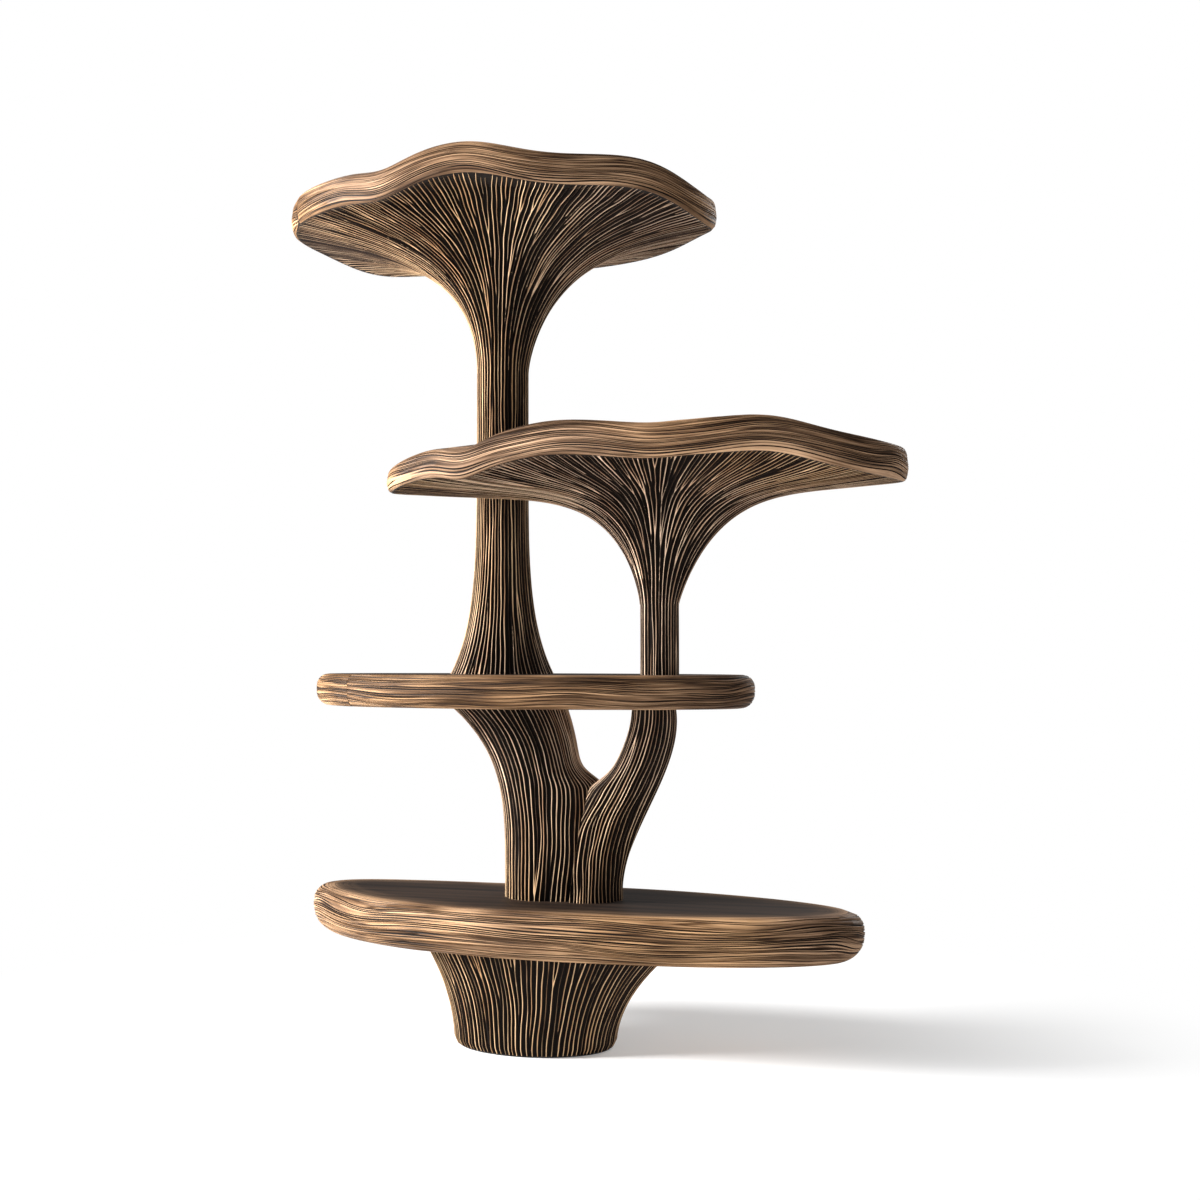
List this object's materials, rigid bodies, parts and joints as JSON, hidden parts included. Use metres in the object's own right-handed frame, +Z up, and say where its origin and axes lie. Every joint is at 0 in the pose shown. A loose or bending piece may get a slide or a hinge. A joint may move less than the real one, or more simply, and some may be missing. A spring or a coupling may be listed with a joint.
{
  "type": "bookshelf",
  "caption": "Free-standing carved wooden bookshelf shaped like mushrooms: a ribbed foot, slab shelves, a forked trunk and gilled caps on stems with flat tops for books.",
  "frame": {"origin": "on the floor, under the middle of the foot", "axes": "+X along the shelves, from the end with the glued-on block to the branch's side; +Y to the back; +Z up"},
  "size_m": [1.1807, 0.5206, 1.5951],
  "materials": {
    "ribbed_wood": "carved, dark stained, waxed",
    "board_wood": "carved grain, brown stained, waxed",
    "dowel_wood": "plain beech",
    "zinc_steel": "zinc plated",
    "rubber_pad": "matt"
  },
  "bodies": {
    "root": {"floor_pad": "rubber_pad", "foot": "ribbed_wood", "foot_dowels": "dowel_wood", "base_board": "board_wood", "trunk": "ribbed_wood", "branch": "ribbed_wood", "fork_dowels": "dowel_wood", "trunk_rod": "zinc_steel", "trunk_rod_washers": "zinc_steel", "trunk_rod_nuts": "zinc_steel", "branch_dowels": "dowel_wood", "middle_shelf": "board_wood", "shelf_end_block": "board_wood", "end_block_dowels": "dowel_wood", "main_stem": "ribbed_wood", "main_rod": "zinc_steel", "main_rod_washers": "zinc_steel", "main_rod_nuts": "zinc_steel", "side_stem": "ribbed_wood", "side_rod": "zinc_steel", "side_rod_washers": "zinc_steel", "side_rod_nuts": "zinc_steel", "top_cap_gills": "ribbed_wood", "top_cap_crown": "board_wood", "top_cap_dowels": "dowel_wood", "side_cap_gills": "ribbed_wood", "side_cap_crown": "board_wood", "side_cap_dowels": "dowel_wood"}
  },
  "joints": []
}
